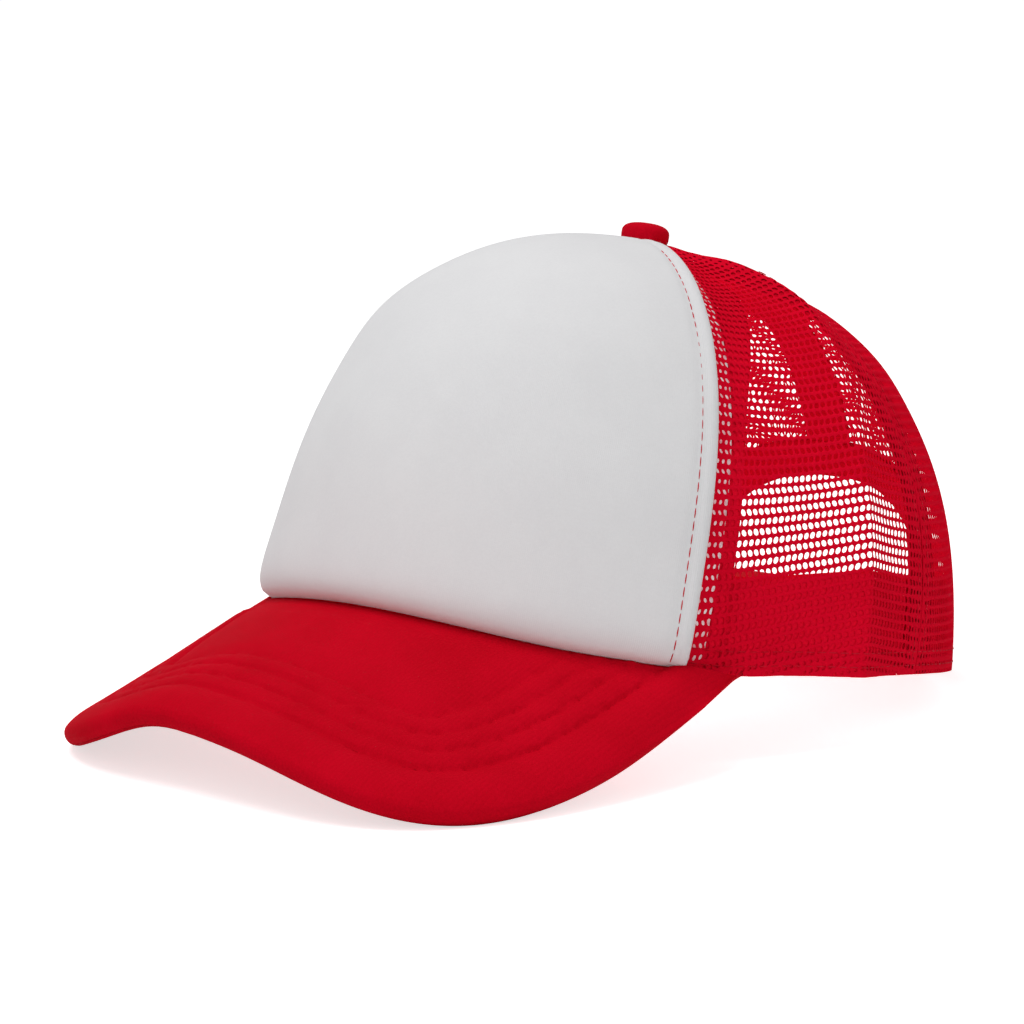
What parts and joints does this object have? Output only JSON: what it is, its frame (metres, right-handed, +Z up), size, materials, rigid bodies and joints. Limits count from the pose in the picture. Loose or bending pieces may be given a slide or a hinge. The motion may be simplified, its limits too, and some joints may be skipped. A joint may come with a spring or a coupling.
{
  "type": "trucker mesh cap",
  "caption": "Trucker cap with a foam-backed front panel, net sides and back, a curved stitched visor, a top button and snap straps across a rear opening.",
  "frame": {"origin": "on the floor under the middle of the cap's box, as it stands on its visor's corners and the rear of its rim", "axes": "+X towards the wearer's left, +Y towards the rear, +Z up; the visor points along -Y"},
  "size_m": [0.178, 0.262, 0.1302],
  "materials": {
    "front_cloth": "smooth white knit laminated to foam",
    "net": "red knitted net with rounded holes",
    "tape": "red woven tape",
    "sweatband_cloth": "red brushed cloth",
    "visor_cloth": "red fine-ribbed knit",
    "board": "plain moulded sheet",
    "button_metal": "pressed sheet metal",
    "strap_plastic": "red moulded plastic"
  },
  "bodies": {
    "cap": {"front_panel": "front_cloth", "side_mesh_left": "net", "side_mesh_right": "net", "rear_mesh_left": "net", "rear_mesh_right": "net", "front_seam_tape_left": "tape", "front_seam_tape_right": "tape", "side_seam_tape_left": "tape", "side_seam_tape_right": "tape", "rear_seam_tape": "tape", "rear_arch_binding": "tape", "sweatband": "sweatband_cloth", "visor_top_cover": "visor_cloth", "visor_board": "board", "visor_under_cover": "visor_cloth", "button_cover": "visor_cloth", "button_shell": "button_metal", "button_washer": "button_metal"},
    "holed_strap": {"strap_with_holes": "strap_plastic"},
    "pegged_strap": {"strap_with_pegs": "strap_plastic"}
  },
  "joints": [
    {"name": "holed_strap_bend", "type": "hinge", "parent": "cap", "child": "holed_strap", "pos_m": [0.03568, 0.11684, 0.01139], "axis": [0, -0.2014, -0.9795], "range_deg": [0, 70], "stiffness_Nm_per_rad": 0.02},
    {"name": "pegged_strap_bend", "type": "hinge", "parent": "cap", "child": "pegged_strap", "pos_m": [-0.04943, 0.10782, 0.01324], "axis": [0, -0.2014, -0.9795], "range_deg": [0, 30], "stiffness_Nm_per_rad": 0.02}
  ]
}
